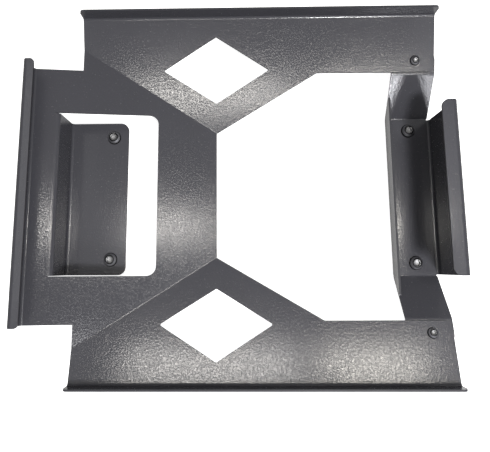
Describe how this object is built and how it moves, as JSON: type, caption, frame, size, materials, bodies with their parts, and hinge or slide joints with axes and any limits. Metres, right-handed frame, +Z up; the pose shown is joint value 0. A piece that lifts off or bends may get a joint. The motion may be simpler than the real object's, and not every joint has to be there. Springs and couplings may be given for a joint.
{
  "type": "satellite dish roof mount",
  "caption": "Folded sheet tray with raised side flanges, diamond openings and a drop foot, closed by a bolted cross bracket, to hold a flat satellite dish under two lips.",
  "frame": {"origin": "under the middle of the mount, level with the tips of the foot screws", "axes": "+X along the tray from the fixed lip to the cross bracket, +Y across it, +Z up towards the dish"},
  "size_m": [0.3028, 0.266, 0.0628],
  "materials": {
    "powder_coat": "textured satin charcoal powder coat",
    "screw_steel": "dark plated, smooth",
    "plated_steel": "zinc plated",
    "nylon": "matte natural"
  },
  "bodies": {
    "root": {"tray": "powder_coat", "cross_bracket": "powder_coat", "foot_screws": "screw_steel", "wing_screws": "screw_steel", "wing_washers": "plated_steel", "wing_nuts": "plated_steel", "wing_nut_rings": "nylon"}
  },
  "joints": []
}
